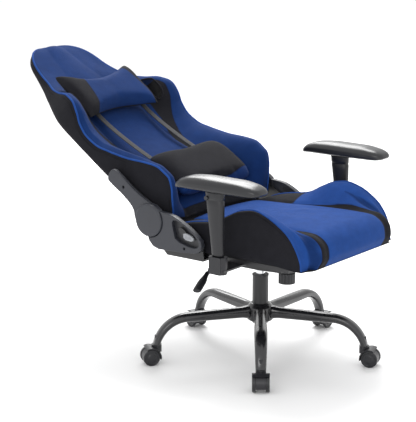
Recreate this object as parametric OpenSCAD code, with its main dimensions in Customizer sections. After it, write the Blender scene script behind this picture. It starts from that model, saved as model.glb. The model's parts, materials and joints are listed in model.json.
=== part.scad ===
// Reclining racing-style swivel chair, millimetres.
// The origin is on the floor on the swivel axis. The sitter looks along -Y and +Z is up.
// Right and left are the sitter's own: right is -X and left is +X.

/* [Star base] */
// Distance from the swivel axis to each caster stem
base_reach = 320; // [290:1:350]
// Number of legs
leg_count = 5; // [5:1:5]
// Height of the level stretch of a leg
leg_height = 134; // [120:1:150]
// Radius of the bend at the end of a leg
leg_bend_radius = 98; // [80:1:110]
// Diameter of the hub
hub_diameter = 78; // [70:1:90]

/* [Casters] */
// Diameter of a caster wheel
wheel_diameter = 50; // [44:1:56]
// Width of a caster over both wheels
caster_width = 50; // [46:1:56]
// Distance from the stem to the wheel axle
caster_trail = 20; // [14:1:24]

/* [Gas lift] */
// Diameter of the outer lift tube
lift_tube_diameter = 48; // [44:1:52]
// Diameter of the chrome lift rod
lift_rod_diameter = 28; // [26:1:30]
// Height of the top of the outer tube
lift_tube_top = 245; // [235:1:255]

/* [Seat] */
// Half of the seat's width
seat_half_width = 254; // [245:1:256]
// Half of the centre panel's width
panel_half_width = 172; // [150:1:190]
// Height of the underside of the cushions
seat_bottom = 357; // [350:1:360]
// Height of the seat surface
seat_top = 434; // [425:1:442]

/* [Back] */
// Angle of the back above level at rest
back_angle = 37; // [30:1:45]
// Length of the back from the hinge to the top of the head
back_length = 765; // [740:1:780]
// Half of the back's width over the wings
back_half_width = 254; // [245:1:255]
// Distance of the recline hinge behind the swivel axis
hinge_y = 192; // [185:1:200]
// Height of the recline hinge
hinge_z = 438; // [430:1:445]

/* [Armrests] */
// Distance from the middle plane to the middle of an armrest
arm_x = 315; // [312:1:320]
// Distance of the armrest post in front of the swivel axis
arm_y = 80; // [70:1:90]
// Height of the top of the arm pads
pad_top = 605; // [595:1:615]
// Width of an arm pad
pad_width = 88; // [80:1:90]

/* [Hidden] */
$fn = 64;
sides = [-1, 1];

// Colours
black_steel = [0.05, 0.05, 0.055];
black_plastic = [0.08, 0.08, 0.085];
black_cloth = [0.06, 0.06, 0.07];
blue_cloth = [0.08, 0.16, 0.42];
chrome = [0.75, 0.76, 0.78];
grey_strap = [0.16, 0.16, 0.18];

// Running clearance between a round shaft and its hole
fit_gap = 0.05;
// Free gap between parts that slide or pass each other
slide_gap = 0.4;

// --- Star base ---------------------------------------------------------------------------

hub_bottom = 108;
hub_shoulder = 149;
hub_top = 160;
leg_start = hub_diameter / 2 - 3;
leg_wall = 2;
leg_sides = 16;
leg_flat_steps = 5;
leg_bend_steps = 9;
leg_bend_angle = 78;
leg_end_z = 61;
leg_flat_end = base_reach - leg_bend_radius * sin(leg_bend_angle) + 1;
socket_diameter = 18;
socket_top = 96;
stem_radius = 5.5;
stem_top = 88;

// Width and height of the leg tube, from the hub (0) to its end (1)
function leg_width(u) = u < 0.45 ? 30 + 20 * u : 39 - 9 * pow((u - 0.45) / 0.55, 2);
function leg_depth(u) = 33 - 13 * pow(u, 1.5);

// One station of the leg: [radius, height, slope, share of the whole length]
function flat_station(i) =
    let (u = i / leg_flat_steps)
    [leg_start + (leg_flat_end - leg_start) * u, leg_height, 0, 0.58 * u];
function bend_station(i) =
    let (u = i / leg_bend_steps, a = leg_bend_angle * u)
    [leg_flat_end + leg_bend_radius * sin(a), leg_height - leg_bend_radius * (1 - cos(a)),
     a, 0.58 + 0.42 * u];
leg_stations = concat([for (i = [0 : leg_flat_steps - 1]) flat_station(i)],
                      [for (i = [0 : leg_bend_steps]) bend_station(i)],
                      [[leg_flat_end + leg_bend_radius * sin(leg_bend_angle) + 2,
                        leg_end_z - 14, leg_bend_angle, 1]]);

// A rounded oval section at one station, made smaller by inset
function leg_ring(station, inset) =
    let (w = leg_width(station[3]) / 2 - inset, d = leg_depth(station[3]) / 2 - inset)
    [for (i = [0 : leg_sides - 1])
        let (a = 360 * i / leg_sides,
             across = w * sign(cos(a)) * pow(abs(cos(a)), 0.8),
             up = d * sign(sin(a)) * pow(abs(sin(a)), 0.8))
        [station[0] + up * sin(station[2]), across, station[1] + up * cos(station[2])]];

module leg_sweep(inset) {
    rings = len(leg_stations);
    points = [for (s = leg_stations) each leg_ring(s, inset)];
    walls = [for (r = [0 : rings - 2], i = [0 : leg_sides - 1])
        let (j = (i + 1) % leg_sides, a = r * leg_sides, b = a + leg_sides)
        [a + i, b + i, b + j, a + j]];
    first = [for (i = [0 : leg_sides - 1]) i];
    last = [for (i = [0 : leg_sides - 1]) rings * leg_sides - 1 - i];
    polyhedron(points = points, faces = concat([first], walls, [last]), convexity = 6);
}

module base_hub() {
    color(black_steel)
    rotate_extrude()
    polygon([[lift_tube_diameter / 2, hub_bottom],
             [hub_diameter / 2 - 3, hub_bottom],
             [hub_diameter / 2, hub_bottom + 3],
             [hub_diameter / 2, hub_shoulder],
             [hub_diameter / 2 - 10, hub_top],
             [lift_tube_diameter / 2, hub_top]]);
}

module base_leg(k) {
    color(black_steel)
    rotate([0, 0, k * 360 / leg_count])
    difference() {
        union() {
            difference() {
                leg_sweep(0);
                leg_sweep(leg_wall);
            }
            translate([base_reach, 0, leg_end_z])
            cylinder(d = socket_diameter, h = socket_top - leg_end_z);
        }
        translate([base_reach, 0, leg_end_z - 20])
        cylinder(r = stem_radius + fit_gap, h = stem_top + 2 - leg_end_z + 20);
        translate([base_reach, 0, leg_end_z - 20])
        cube([80, 80, 40], center = true);
    }
}

// --- Casters -----------------------------------------------------------------------------

wheel_radius = wheel_diameter / 2;
wheel_thickness = 10.5;
axle_radius = 4;
body_half = caster_width / 2 - wheel_thickness - 0.5;
body_radius = 23;
body_floor_gap = 13;
fender_inner = wheel_radius + 1.3;
fender_outer = wheel_radius + 4.5;
// The fender covers this stretch, measured from the outward side over the top
fender_start = 62;
fender_end = 192;
boss_radius = 15;
boss_bottom = 38;

module at_caster(k) {
    rotate([0, 0, k * 360 / leg_count])
    translate([base_reach, 0, 0])
    children();
}

module at_axle() {
    translate([caster_trail, 0, wheel_radius])
    rotate([90, 0, 0])
    children();
}

module fender_sector(radius, half_width) {
    intersection() {
        cylinder(r = radius, h = 2 * half_width, center = true);
        linear_extrude(2 * half_width, center = true)
        polygon([[0, 0],
                 60 * [cos(fender_start), sin(fender_start)],
                 60 * [cos(105), sin(105)],
                 60 * [cos(150), sin(150)],
                 60 * [cos(fender_end), sin(fender_end)]]);
    }
}

module caster_hood(k) {
    color(black_plastic)
    at_caster(k)
    difference() {
        union() {
            at_axle()
            cylinder(r = body_radius, h = 2 * body_half, center = true);
            at_axle()
            fender_sector(fender_outer - 1, body_half);
            at_axle()
            difference() {
                fender_sector(fender_outer, caster_width / 2);
                cylinder(r = fender_inner, h = caster_width + 2, center = true);
            }
            translate([0, 0, boss_bottom])
            cylinder(r = boss_radius, h = leg_end_z - 0.5 - boss_bottom);
            translate([0, 0, boss_bottom])
            cylinder(r = stem_radius, h = stem_top - boss_bottom);
        }
        at_axle()
        cylinder(r = axle_radius + fit_gap, h = caster_width, center = true);
        translate([caster_trail, 0, 0])
        cube([80, 80, 2 * body_floor_gap], center = true);
        for (side = sides)
            at_axle()
            translate([0, 0, side * (body_half + wheel_thickness / 2 + 0.75)])
            cylinder(r = fender_inner, h = wheel_thickness + 1.5, center = true);
    }
}

module caster_wheels(k) {
    color(black_plastic)
    at_caster(k)
    at_axle()
    union() {
        cylinder(r = axle_radius, h = caster_width - 4, center = true);
        for (side = sides)
            translate([0, 0, side * (body_half + 0.5 + wheel_thickness / 2)])
            rotate_extrude()
            polygon([[0, -wheel_thickness / 2], [wheel_radius - 1, -wheel_thickness / 2],
                     [wheel_radius, -wheel_thickness / 2 + 1],
                     [wheel_radius, wheel_thickness / 2 - 1],
                     [wheel_radius - 1, wheel_thickness / 2], [0, wheel_thickness / 2]]);
    }
}

// --- Gas lift ----------------------------------------------------------------------------

column_bottom = 100;
column_wall = 4;
bush_bottom = 205;
bush_flange = 4;
bush_notches = 12;
rod_bottom = 125;
rod_top = 308;

module lift_column() {
    color(black_steel)
    difference() {
        translate([0, 0, column_bottom])
        cylinder(d = lift_tube_diameter, h = lift_tube_top - column_bottom);
        translate([0, 0, column_bottom + column_wall])
        cylinder(d = lift_tube_diameter - 2 * column_wall, h = lift_tube_top);
    }
}

module lift_bush() {
    flange_radius = lift_tube_diameter / 2 + 1;
    color(black_plastic)
    difference() {
        union() {
            translate([0, 0, bush_bottom])
            cylinder(d = lift_tube_diameter - 2 * column_wall, h = lift_tube_top - bush_bottom);
            translate([0, 0, lift_tube_top])
            cylinder(r = flange_radius, h = bush_flange);
        }
        translate([0, 0, bush_bottom - 1])
        cylinder(r = lift_rod_diameter / 2 + fit_gap, h = lift_tube_top);
        for (i = [0 : bush_notches - 1])
            rotate([0, 0, i * 360 / bush_notches])
            translate([flange_radius, 0, lift_tube_top + 1.5])
            cylinder(r = 2, h = bush_flange);
    }
}

module lift_rod() {
    color(chrome)
    translate([0, 0, rod_bottom])
    cylinder(d = lift_rod_diameter, h = rod_top - rod_bottom);
}

// --- Tilt mechanism ----------------------------------------------------------------------

housing_half = 68;
housing_wall = 4;
collar_bottom = 266;
collar_radius = 22;
pin_y = -70;
pin_z = 318;
pin_radius = 6;
pin_half = 78;
knob_y = -95;
knob_bottom = 237;
knob_top = 280;
knob_radius = 25;
knob_grooves = 16;
bolt_radius = 5;
spring_radius = 14.5;
spring_wire = 2.5;
spring_turns = 6;
lever_y = 60;
lever_z = 298;
lever_radius = 4;
pivot_x = -57;
pivot_size = [12, 13, 12];
trunnion_radius = 2.5;
trunnion_half = 13;

// Extrude a (Y, Z) outline along X, over half a width on each side
module across(half_width) {
    rotate([90, 0, 90])
    linear_extrude(2 * half_width, center = true)
    children();
}

// A round bar along X
module cross_bar(radius, half_length) {
    rotate([0, 90, 0])
    cylinder(r = radius, h = 2 * half_length, center = true);
}

module tilt_housing() {
    color(black_steel)
    difference() {
        union() {
            difference() {
                across(housing_half)
                polygon([[-122, 284], [-118, 324], [-60, 332], [78, 306], [82, 290],
                         [30, 280], [-40, 280]]);
                across(housing_half - housing_wall)
                polygon([[-118, 288], [-118, 340], [78, 340], [78, 293],
                         [30, 284], [-40, 284]]);
            }
            translate([0, 0, collar_bottom])
            cylinder(r = collar_radius, h = rod_top + 6 - collar_bottom);
            for (y = [-1, 1])
                translate([pivot_x, lever_y + y * 10, 294])
                cube([14, 4, 18], center = true);
        }
        translate([0, 0, collar_bottom - 1])
        cylinder(r = lift_rod_diameter / 2 + fit_gap, h = rod_top + 1 - collar_bottom);
        translate([0, pin_y, pin_z])
        cross_bar(pin_radius + fit_gap, housing_half + 1);
        translate([0, knob_y, 270])
        cylinder(r = bolt_radius + fit_gap, h = 30);
        translate([-housing_half, lever_y, lever_z])
        cross_bar(8.5, 8);
        translate([pivot_x, lever_y, lever_z])
        rotate([90, 0, 0])
        cylinder(r = trunnion_radius + fit_gap, h = 40, center = true);
    }
}

module tilt_pin() {
    color(chrome)
    translate([0, pin_y, pin_z])
    cross_bar(pin_radius, pin_half);
}

module tilt_spring() {
    color(chrome)
    for (i = [0 : spring_turns - 1])
        translate([0, knob_y, 290.6 + i * spring_wire * 1.8])
        rotate_extrude()
        translate([spring_radius, 0])
        circle(r = spring_wire);
}

module tension_knob() {
    color(black_plastic)
    translate([0, knob_y, knob_bottom])
    difference() {
        union() {
            cylinder(r = knob_radius, h = 30);
            cylinder(r = knob_radius - 5, h = knob_top - knob_bottom);
        }
        for (i = [0 : knob_grooves - 1])
            rotate([0, 0, i * 360 / knob_grooves])
            translate([knob_radius + 0.8, 0, 4])
            cylinder(r = 2.6, h = 30);
        translate([0, 0, 12])
        cylinder(r = bolt_radius, h = 40);
    }
}

module tension_bolt() {
    color(chrome)
    translate([0, knob_y, knob_bottom + 12])
    union() {
        cylinder(r = bolt_radius, h = 68);
        translate([0, 0, 68])
        cylinder(r = 9, h = 4);
    }
}

module lever_pivot() {
    color(black_steel)
    translate([pivot_x, lever_y, lever_z])
    difference() {
        union() {
            cube(pivot_size, center = true);
            rotate([90, 0, 0])
            cylinder(r = trunnion_radius, h = 2 * trunnion_half, center = true);
        }
        cross_bar(lever_radius + fit_gap, 20);
    }
}

// A round bar from one point to another
module bar_between(p, q, radius) {
    d = q - p;
    length = norm(d);
    translate(p)
    rotate([0, acos(d[2] / length), atan2(d[1], d[0])])
    cylinder(r = radius, h = length);
}

lever_bend = [-150, lever_y, lever_z];
lever_end = [-203, 51, 278];
grip_start = [-190, 53, 283];
grip_end = [-258, 40, 246];

module lever_rod() {
    color(black_steel)
    union() {
        bar_between([-42, lever_y, lever_z], lever_bend - [1.5, 0, 0], lever_radius);
        bar_between(lever_bend, lever_end, lever_radius);
    }
}

module lever_grip() {
    grip_run = grip_end - grip_start;
    color(black_plastic)
    difference() {
        hull() {
            translate(grip_start)
            sphere(r = 7, $fn = 32);
            for (y = [-7, 7])
                translate(grip_end + [0, y, 0])
                sphere(r = 6.5, $fn = 32);
            for (y = [-6, 6])
                translate(grip_start + 0.45 * grip_run + [0, y, 0])
                sphere(r = 6.5, $fn = 32);
        }
        bar_between(lever_bend, lever_end, lever_radius);
    }
}

// --- Seat structure ----------------------------------------------------------------------

plate_z = 338;
plate_thickness = 5;
plate_half = 96;
ear_inner = 69.5;
ear_outer = 74.5;
pan_bottom = 345;
pan_half = 235;
pan_front = -262;
pan_rear = 118;
bolt_x = 85;

module swing_plate() {
    color(black_steel)
    difference() {
        union() {
            translate([-plate_half, -150, plate_z])
            cube([2 * plate_half, 290, plate_thickness]);
            for (side = sides)
                translate([side * (ear_inner + ear_outer) / 2, 0, 0])
                across((ear_outer - ear_inner) / 2)
                polygon([[-94, plate_z + 1], [-80, 306], [-60, 306], [-46, plate_z + 1]]);
        }
        translate([0, pin_y, pin_z])
        cross_bar(pin_radius, pin_half + 2);
        for (x = [-bolt_x, bolt_x], y = [-120, 110])
            translate([x, y, plate_z - 1])
            cylinder(r = 4, h = plate_thickness + 2);
    }
}

module seat_pan() {
    color(black_steel)
    difference() {
        translate([-pan_half, pan_front, pan_bottom])
        cube([2 * pan_half, pan_rear - pan_front, seat_bottom - pan_bottom]);
        for (x = [-bolt_x, bolt_x], y = [-120, 110])
            translate([x, y, pan_bottom - 1])
            cylinder(r = 4, h = 9);
    }
    color(black_steel)
    translate([-plate_half, -150, plate_z + plate_thickness])
    cube([2 * plate_half, 290 - 24, pan_bottom - plate_z - plate_thickness]);
}

module seat_bolts() {
    color(chrome)
    for (x = [-bolt_x, bolt_x], y = [-120, 110])
        translate([x, y, plate_z])
        union() {
            translate([0, 0, -5])
            cylinder(r = 6.5, h = 5);
            cylinder(r = 4, h = 12);
        }
}

module seat_cushion() {
    color(blue_cloth)
    across(panel_half_width)
    polygon([[130, seat_bottom], [133, 402], [124, 422], [96, 430], [0, seat_top - 2],
             [-120, seat_top + 4], [-230, seat_top + 3], [-285, 424], [-318, 400],
             [-332, 370], [-330, seat_bottom - 2], [-262.5, seat_bottom - 2],
             [-262.5, seat_bottom]]);
}

module seat_bolster(side) {
    color(black_cloth)
    intersection() {
        across(seat_half_width)
        polygon([[135, seat_bottom], [134, 404], [118, 424], [70, 441], [-13, 456], [-82, 493],
                 [-134, 507], [-191, 501], [-235, 482], [-268, 440], [-295, 396],
                 [-312, seat_bottom + 3], [-312, seat_bottom - 4], [-262.5, seat_bottom - 4],
                 [-262.5, seat_bottom]]);
        rotate([90, 0, 0])
        linear_extrude(800, center = true)
        polygon([[side * (panel_half_width + 0.4), 340], [side * seat_half_width, 340],
                 [side * seat_half_width, 480], [side * (seat_half_width - 12), 508],
                 [side * (seat_half_width - 32), 508],
                 [side * (panel_half_width + 0.4), 446]]);
    }
}

// --- Recliner ----------------------------------------------------------------------------

back_plate_inner = 256;
back_plate_outer = 260;
seat_plate_inner = 262;
seat_plate_outer = 266;
cover_inner = 268;
cover_outer = 285;
shaft_radius = 6;
disc_radius = 36;
cap_radius = 49;
back_arm_reach = 176;
back_arm_radius = 25;
recess_floor = 275;
cover_screw_radius = 3;
lever_pivot_y = 80;
lever_pivot_z = 426;
lever_pin_radius = 3;

module at_hinge() {
    translate([0, hinge_y, hinge_z])
    children();
}

// A slab between two distances from the middle plane, on one side, from a (Y, Z) outline
module side_slab(side, inner, outer) {
    translate([side * (inner + outer) / 2, 0, 0])
    across((outer - inner) / 2)
    children();
}

module recliner_plate(side) {
    color(black_steel)
    difference() {
        union() {
            side_slab(side, seat_plate_inner, seat_plate_outer)
            polygon([[10, 340], [140, 340], [hinge_y + 30, hinge_z - 20],
                     [hinge_y, hinge_z], [hinge_y - 30, hinge_z + 20], [10, 372]]);
            at_hinge()
            translate([side * (seat_plate_inner + seat_plate_outer) / 2, 0, 0])
            cross_bar(disc_radius, (seat_plate_outer - seat_plate_inner) / 2);
            translate([side * (200 + seat_plate_outer) / 2, 65, 342.5])
            cube([seat_plate_outer - 200, 110, 5], center = true);
        }
        at_hinge()
        cross_bar(shaft_radius + fit_gap, 400);
    }
}

module recliner_cover(side) {
    color(black_plastic)
    difference() {
        side_slab(side, cover_inner, cover_outer)
        polygon([[162, 357], [112, 361], [57, 365], [8, 368], [0, 378], [1, 398], [12, 418],
                 [40, 436], [79, 457], [118, 464], [170, 470], [hinge_y, hinge_z],
                 [hinge_y + 6, 386]]);
        at_hinge()
        cross_bar(cap_radius + 0.6, 400);
        side_slab(side, recess_floor, cover_outer + 1)
        polygon([[94, 446], [85, 398], [34, 374], [12, 400], [38, 430], [78, 448]]);
        translate([0, 61, 377])
        cross_bar(cover_screw_radius, 400);
        translate([0, lever_pivot_y, lever_pivot_z])
        cross_bar(lever_pin_radius + fit_gap, 400);
    }
}

module recline_lever() {
    color([0.5, 0.5, 0.52])
    union() {
        side_slab(-1, recess_floor + 0.5, recess_floor + 6)
        polygon([[86, 432], [86, 419], [60, 404], [36, 396], [26, 400], [40, 412], [72, 430]]);
        translate([-(recess_floor - 3), lever_pivot_y, lever_pivot_z])
        cross_bar(lever_pin_radius, 5);
    }
}

module hinge_shaft() {
    color(chrome)
    at_hinge()
    cross_bar(shaft_radius, seat_plate_outer + 1);
}

// Back pieces are drawn lying in their own plane: X across, Y up the back, Z out of its front
module in_back() {
    at_hinge()
    rotate([back_angle, 0, 0])
    children();
}

module back_plate(side) {
    color(black_steel)
    difference() {
        in_back()
        union() {
            translate([side * (back_plate_inner + back_plate_outer) / 2, 0, 0])
            cross_bar(disc_radius, (back_plate_outer - back_plate_inner) / 2);
            side_slab(side, back_plate_inner, back_plate_outer)
            polygon([[0, -24], [190, -30], [190, 14], [0, 30]]);
            translate([side * 228, 140, -38.5])
            cube([64, 90, 5], center = true);
            side_slab(side, back_plate_inner, back_plate_outer)
            polygon([[95, -41], [185, -41], [185, -20], [95, -20]]);
        }
        at_hinge()
        cross_bar(shaft_radius, 400);
    }
}

module back_arm_cover(side) {
    color(black_plastic)
    in_back()
    difference() {
        union() {
            translate([side * (cover_inner + cover_outer) / 2, 0, 0])
            cross_bar(cap_radius, (cover_outer - cover_inner) / 2);
            side_slab(side, cover_inner, cover_outer - 4)
            polygon([[0, -cap_radius + 6], [40, -back_arm_radius - 6],
                     [back_arm_reach - 20, -back_arm_radius],
                     [back_arm_reach - 4, -back_arm_radius + 6],
                     [back_arm_reach + 4, 0],
                     [back_arm_reach - 4, back_arm_radius - 6],
                     [back_arm_reach - 20, back_arm_radius],
                     [40, back_arm_radius + 10], [0, cap_radius - 2]]);
        }
        translate([side * (cover_outer + 11), 0, 0])
        cross_bar(cap_radius - 16, 14);
        translate([0, 128, 8])
        cross_bar(4, 400);
    }
}

// --- Back --------------------------------------------------------------------------------

panel_rear = -52;
panel_front = -24;
lumbar_front = 28;
slot_bottom = 418;
slot_top = 520;
slot_inner = 168;
slot_outer = 192;
wing_inner = 170;

module back_frame() {
    color(black_steel)
    in_back()
    translate([0, 0, -41])
    linear_extrude(5)
    polygon([[-258, 100], [-258, 180], [-150, 260], [-150, 560], [-120, 590], [120, 590],
             [150, 560], [150, 260], [258, 180], [258, 100], [150, 40], [-150, 40]]);
}

// A closed outline from its right-hand half, listed from bottom to top
function mirrored(half) =
    concat(half, [for (i = [len(half) - 1 : -1 : 0]) [-half[i][0], half[i][1]]]);

panel_half_outline = [[slot_inner, 30], [slot_inner, 575], [150, 600]];
head_half_outline = [[slot_inner, 546], [slot_inner, 612], [156, 650], [148, 682], [138, 702],
                     [104, 740], [72, 757], [20, back_length]];
head_drop = 19;

module back_cushion() {
    color(blue_cloth)
    in_back()
    union() {
        translate([0, 0, panel_rear])
        linear_extrude(panel_front - panel_rear)
        polygon(mirrored(panel_half_outline));
        translate([0, 0, panel_rear - head_drop])
        linear_extrude(panel_front - panel_rear)
        polygon(mirrored(head_half_outline));
        across(slot_inner)
        polygon([[34, panel_rear + 2], [220, panel_rear + 2], [300, panel_front - 1],
                 [210, 4], [120, lumbar_front], [-24, lumbar_front], [-36, lumbar_front - 6],
                 [-38, 16], [-30, 11], [22, 11]]);
    }
}

wing_half_outline = [[wing_inner, -40], [wing_inner, slot_bottom], [slot_outer, slot_bottom],
                     [slot_outer, slot_top], [wing_inner, slot_top], [wing_inner, 545],
                     [200, 540], [219, 510], [232, 485], [247, 450], [back_half_width, 410],
                     [back_half_width, -40]];

// The wing's side outline along the back; lower makes the front edge lower by that share
function wing_profile(lower) =
    let (h = 1 - lower)
    [[-27, 47 * h], [-4, 80 * h], [18, 110 * h], [47, 127 * h], [80, 126 * h], [124, 110 * h],
     [194, 76 * h], [250, 46 * h], [300, 24 * h], [340, 18 * h], [383, 28 * h], [411, 44 * h],
     [445, 48 * h], [485, 34 * h], [524, 4 * h], [545, -24], [500, -32], [430, -40],
     [340, -39], [217, -30], [60, -22], [20, 12]];

module back_wing(side) {
    color(black_cloth)
    in_back()
    intersection() {
        union() {
            side_slab(side, wing_inner, 206)
            polygon(wing_profile(0.3));
            side_slab(side, 205, 244)
            polygon(wing_profile(0));
            side_slab(side, 243, back_half_width)
            polygon(wing_profile(0.15));
        }
        translate([0, 0, -100])
        linear_extrude(300)
        polygon([for (p = wing_half_outline) [side * p[0], p[1]]]);
    }
}

module head_pillow() {
    color(black_cloth)
    in_back()
    union() {
        across(115)
        polygon([[414, panel_front], [410, 4], [426, 36], [460, 44], [510, 42], [540, 26],
                 [556, 0], [552, panel_front]]);
        across(163)
        polygon([[402, panel_front], [400, -4], [416, 18], [460, 26], [530, 22], [574, 6],
                 [586, -12], [584, panel_front]]);
    }
}

module lumbar_pillow() {
    color(black_cloth)
    in_back()
    across(168)
    polygon([[2, lumbar_front + 2], [-2, 50], [12, 78], [46, 95], [112, 95], [152, 78],
             [172, 52], [172, lumbar_front + 2]]);
}

strap_x = 108;
strap_width = 22;
strap_thickness = 2.5;

module pillow_straps() {
    color(grey_strap)
    in_back()
    for (side = sides)
        side_slab(side, strap_x - strap_width / 2, strap_x + strap_width / 2)
        polygon([[168, 56], [260, 22], [384, -21], [384, -21 + strap_thickness],
                 [260, 22 + strap_thickness], [168, 56 + strap_thickness]]);
}

// --- Armrests ----------------------------------------------------------------------------

sleeve_bottom = 332;
sleeve_top = 381;
post_depth = 20;
post_thickness = 8;
post_top = 520;
column_base = 383;
column_top = 566;
bracket_z = 339.5;
bracket_thickness = 5;
button_y = -50;
button_z = 545;
button_radius = 6;

module at_arm(side) {
    translate([side * arm_x, -arm_y, 0])
    children();
}

module arm_bracket(side) {
    color(black_steel)
    union() {
        translate([side * (120 + arm_x + 10) / 2, -arm_y, bracket_z + bracket_thickness / 2])
        cube([arm_x + 10 - 120, 56, bracket_thickness], center = true);
        at_arm(side)
        translate([0, 0, (bracket_z + post_top) / 2])
        cube([post_thickness, post_depth, post_top - bracket_z], center = true);
    }
}

module arm_sleeve(side) {
    color(black_plastic)
    at_arm(side)
    difference() {
        translate([0, 0, sleeve_bottom])
        linear_extrude(sleeve_top - sleeve_bottom)
        for (y = [-10, 10])
            translate([0, y])
            union() {
                circle(r = 17);
                square([34, 20], center = true);
            }
        translate([0, 0, (sleeve_bottom + sleeve_top) / 2])
        cube([post_thickness, post_depth, 80], center = true);
        translate([-side * 60, 0, bracket_z + bracket_thickness / 2])
        cube([140, 56.4, bracket_thickness], center = true);
    }
}

// A flat oval slab of the armrest column
module column_slab(front, rear, thickness, z) {
    r = thickness / 2;
    translate([0, 0, z])
    linear_extrude(2)
    union() {
        for (y = [front + r, rear - r])
            translate([0, y])
            circle(r = r, $fn = 32);
        translate([-r, front + r])
        square([thickness, rear - front - thickness]);
    }
}

module arm_column(side) {
    color(black_plastic)
    at_arm(side)
    difference() {
        hull() {
            column_slab(-18, 18, 24, column_base);
            column_slab(-19, 42, 30, column_top - 2);
        }
        translate([0, 0, column_base - 1])
        linear_extrude(column_top - 8 - column_base)
        square([post_thickness + 2 * slide_gap, post_depth + 2 * slide_gap], center = true);
        translate([side * 20, button_y + arm_y, button_z])
        cross_bar(button_radius + fit_gap, 14);
    }
}

module arm_button(side) {
    color([0.2, 0.2, 0.21])
    at_arm(side)
    translate([side * 13.5, button_y + arm_y, button_z])
    cross_bar(button_radius, 4);
}

module arm_pad(side) {
    color(black_plastic)
    translate([side * arm_x, 0, 0])
    across(pad_width / 2)
    polygon([[54, 566], [50, 580], [32, 593], [0, 601], [-60, pad_top], [-150, pad_top],
             [-200, 599], [-226, 588], [-232, 578], [-226, 570], [-200, 567], [-100, column_top],
             [20, column_top], [48, 562]]);
}

// --- Assembly ----------------------------------------------------------------------------

base_hub();
base_leg(0);  // base_leg_1
base_leg(1);  // base_leg_2
base_leg(2);  // base_leg_3
base_leg(3);  // base_leg_4
base_leg(4);  // base_leg_5
lift_column();
lift_bush();
lift_rod();
caster_hood(0);  // caster_hood_1
caster_hood(1);  // caster_hood_2
caster_hood(2);  // caster_hood_3
caster_hood(3);  // caster_hood_4
caster_hood(4);  // caster_hood_5
caster_wheels(0);  // caster_wheels_1
caster_wheels(1);  // caster_wheels_2
caster_wheels(2);  // caster_wheels_3
caster_wheels(3);  // caster_wheels_4
caster_wheels(4);  // caster_wheels_5
tilt_housing();
tilt_pin();
tilt_spring();
tension_knob();
tension_bolt();
lever_pivot();
lever_rod();
lever_grip();
swing_plate();
seat_pan();
seat_bolts();
seat_cushion();
seat_bolster(-1);  // seat_bolster_right
seat_bolster(1);  // seat_bolster_left
recliner_plate(-1);  // recliner_plate_right
recliner_plate(1);  // recliner_plate_left
recliner_cover(-1);  // recliner_cover_right
recliner_cover(1);  // recliner_cover_left
recline_lever();
arm_bracket(-1);  // arm_bracket_right
arm_bracket(1);  // arm_bracket_left
arm_sleeve(-1);  // arm_sleeve_right
arm_sleeve(1);  // arm_sleeve_left
arm_column(-1);  // arm_column_right
arm_column(1);  // arm_column_left
arm_button(-1);  // arm_button_right
arm_button(1);  // arm_button_left
arm_pad(-1);  // arm_pad_right
arm_pad(1);  // arm_pad_left
hinge_shaft();
back_plate(-1);  // back_plate_right
back_plate(1);  // back_plate_left
back_arm_cover(-1);  // back_arm_cover_right
back_arm_cover(1);  // back_arm_cover_left
back_frame();
back_cushion();
back_wing(-1);  // back_wing_right
back_wing(1);  // back_wing_left
head_pillow();
lumbar_pillow();
pillow_straps();
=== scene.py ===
"""Reclining racing-style swivel chair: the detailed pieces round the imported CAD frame.

Metres, in the CAD frame: the floor is Z = 0, the sitter looks along -Y, and the sitter's right
is -X. The back is shaped in its own frame: x across, t up the back from the hinge, n out of its front.
"""
import json
import math

import bpy
import numpy as np
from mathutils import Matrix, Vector


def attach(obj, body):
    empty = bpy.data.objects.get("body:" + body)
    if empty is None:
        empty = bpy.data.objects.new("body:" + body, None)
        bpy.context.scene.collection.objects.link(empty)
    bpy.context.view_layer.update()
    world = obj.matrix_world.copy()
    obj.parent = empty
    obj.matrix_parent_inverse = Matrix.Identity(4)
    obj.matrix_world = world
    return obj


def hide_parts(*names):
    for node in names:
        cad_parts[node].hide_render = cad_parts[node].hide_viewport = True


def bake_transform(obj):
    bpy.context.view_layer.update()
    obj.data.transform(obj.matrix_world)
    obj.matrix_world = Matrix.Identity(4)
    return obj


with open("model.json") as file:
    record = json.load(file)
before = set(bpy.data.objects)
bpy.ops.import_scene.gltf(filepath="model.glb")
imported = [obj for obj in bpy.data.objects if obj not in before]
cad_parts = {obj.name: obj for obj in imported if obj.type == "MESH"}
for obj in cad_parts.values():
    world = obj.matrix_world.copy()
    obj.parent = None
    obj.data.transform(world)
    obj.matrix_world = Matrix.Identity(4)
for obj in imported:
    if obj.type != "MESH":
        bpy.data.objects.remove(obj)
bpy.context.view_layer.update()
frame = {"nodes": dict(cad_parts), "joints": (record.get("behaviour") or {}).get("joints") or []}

SIDES = {"right": -1, "left": 1}
JOINTS = {joint["name"]: joint for joint in frame["joints"]}
HINGE = np.array(JOINTS["recline"]["pos_m"])
BACK_ANGLE = math.radians(37)
BACK_COS, BACK_SIN = math.cos(BACK_ANGLE), math.sin(BACK_ANGLE)
HARD_ANGLE = math.radians(35)


# --- Camera, light and floor ------------------------------------------------------------------

CAMERA_PLACE = (-3.744, -2.667, 1.530)
CAMERA_AIM = (-0.034, 0.170, 0.421)
CAMERA_LENS = 137.15
CAMERA_SENSOR = 36
FLOOR_REACH = 14


def aimed(place, aim):
    """The rotation of a camera or lamp at place that looks at aim."""
    return (Vector(aim) - Vector(place)).to_track_quat("-Z", "Y").to_euler()


def add_object(name, data):
    made = bpy.data.objects.new(name, data)
    bpy.context.scene.collection.objects.link(made)
    return made


def make_camera():
    camera = add_object("camera", bpy.data.cameras.new("camera"))
    camera.location = CAMERA_PLACE
    camera.rotation_euler = aimed(CAMERA_PLACE, CAMERA_AIM)
    camera.data.lens = CAMERA_LENS
    camera.data.sensor_width = CAMERA_SENSOR
    camera.data.clip_end = 50
    bpy.context.scene.camera = camera


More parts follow.
